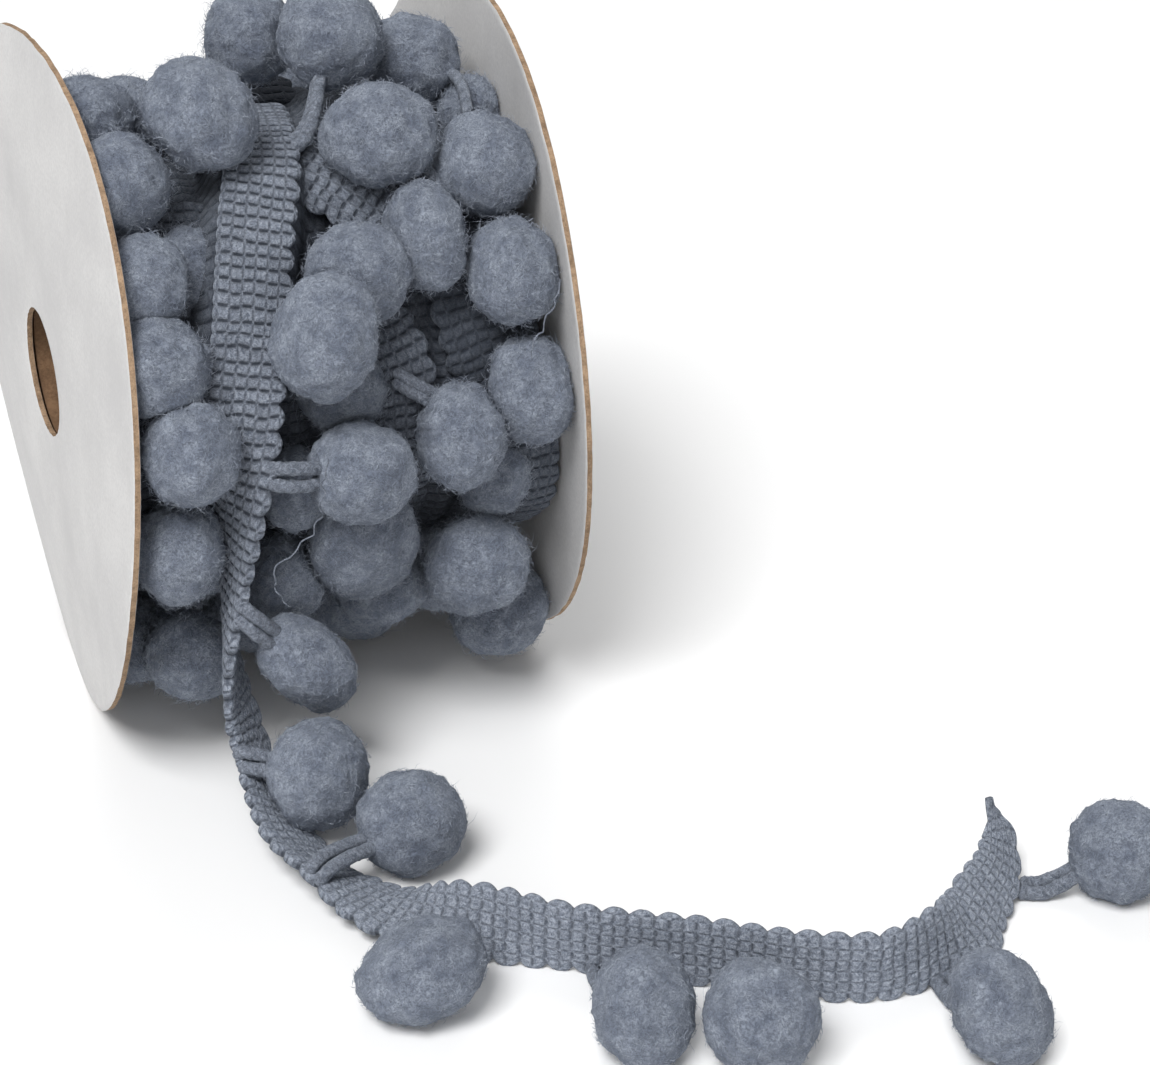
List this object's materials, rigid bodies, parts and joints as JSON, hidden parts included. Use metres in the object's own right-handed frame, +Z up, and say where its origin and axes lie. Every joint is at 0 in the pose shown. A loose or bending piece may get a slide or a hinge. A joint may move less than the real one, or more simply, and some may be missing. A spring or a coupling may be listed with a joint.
{
  "type": "pompom trim on a card reel",
  "caption": "Pompom fringe trim of narrow braid wound on a card reel, its loose end hanging down the front and curving across the floor with its pompoms.",
  "frame": {"origin": "centre of the bounding box's footprint, at floor level", "axes": "+X along the reel's axis, from the near card to the far one; -Y to the front, where the loose end lies; +Z up"},
  "size_m": [0.1236, 0.1936, 0.1046],
  "materials": {
    "card": "matte white face",
    "kraft": "matte brown board",
    "pompom_yarn": "soft felted pile",
    "braid_yarn": "matte braid"
  },
  "bodies": {
    "root": {"flange_left": "card", "flange_right": "card", "core_tube": "kraft", "wound_trim": "pompom_yarn", "loose_trim": "braid_yarn"}
  },
  "joints": []
}
